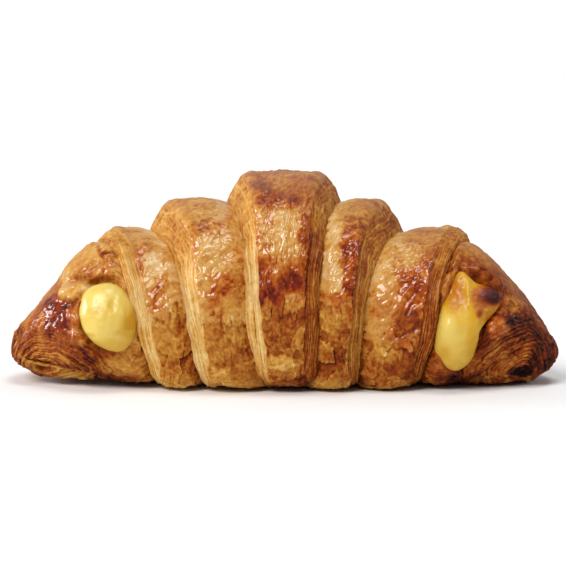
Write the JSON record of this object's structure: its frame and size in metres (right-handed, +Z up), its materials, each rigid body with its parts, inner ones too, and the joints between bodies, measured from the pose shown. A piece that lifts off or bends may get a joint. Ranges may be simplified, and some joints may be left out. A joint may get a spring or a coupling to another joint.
{
  "type": "cream-filled croissant",
  "caption": "Rolled croissant with stepped wraps, slender rounded ends, a flat underside, and custard showing in an open pocket near each end.",
  "frame": {"origin": "on the floor plane under the middle of the croissant, at the centre of its middle wrap's flat underside", "axes": "+X from the tip with the round drop of custard to the tip with the long drip, -Y towards the shown front, +Z up"},
  "size_m": [0.1608, 0.0735, 0.0609],
  "materials": {
    "crust": "baked laminated dough with an egg-wash sheen",
    "custard": "smooth moist pastry custard"
  },
  "bodies": {
    "root": {"pastry": "crust", "custard": "custard"}
  },
  "joints": []
}
